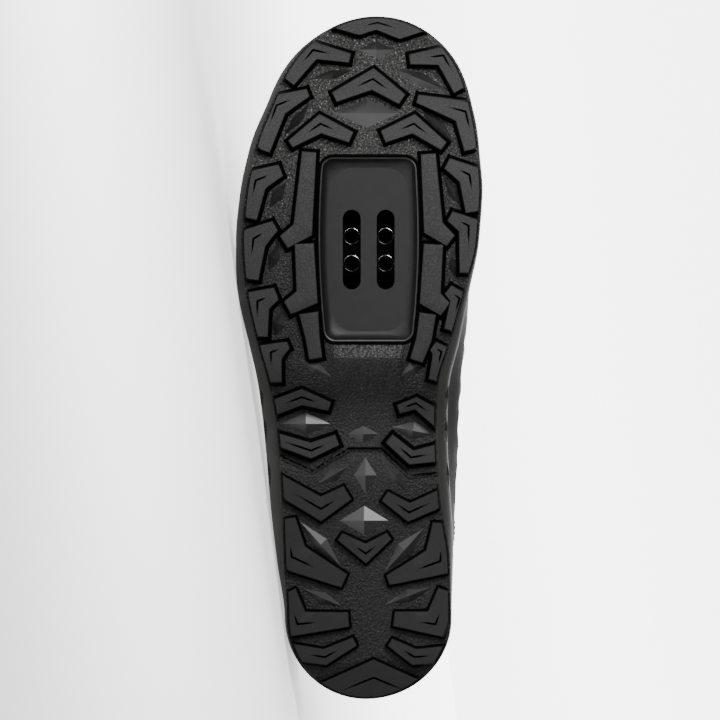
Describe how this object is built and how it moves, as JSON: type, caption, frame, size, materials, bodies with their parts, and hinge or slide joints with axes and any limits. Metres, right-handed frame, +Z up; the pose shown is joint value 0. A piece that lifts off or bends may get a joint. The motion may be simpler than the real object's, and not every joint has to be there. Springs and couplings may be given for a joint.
{
  "type": "cycling shoe",
  "caption": "Right mountain cycling shoe lying on its lateral side: chevron-lug rubber tread, slotted cleat pocket, moulded midsole, hollow padded upper, tongue and closure straps.",
  "frame": {"origin": "centre of the bounding box's base, on the floor that the shoe lies on", "axes": "+X from toe to heel, the longest side; -Y the way the tread faces; +Z up, from the lateral side to the medial side"},
  "size_m": [0.28, 0.1108, 0.107],
  "materials": {
    "tread_rubber": "matte moulded rubber with fine grain, pebbled between the lugs",
    "moulded_sidewall": "matte moulded sidewall",
    "glass_filled_nylon": "smooth moulded nylon",
    "zinc_plated_steel": "satin zinc-plated steel",
    "insole_foam": "short-napped fabric over foam",
    "coated_textile": "smooth film over textile, with mesh windows",
    "tongue_textile": "knitted textile over foam",
    "strap_film": "coated strap with a stitched edge"
  },
  "bodies": {
    "root": {"outsole": "tread_rubber", "midsole": "moulded_sidewall", "cleat_plate": "glass_filled_nylon", "nut_plate": "zinc_plated_steel", "insole": "insole_foam", "upper": "coated_textile", "tongue": "tongue_textile", "strap_front": "strap_film", "strap_middle": "strap_film", "strap_rear": "strap_film"}
  },
  "joints": []
}
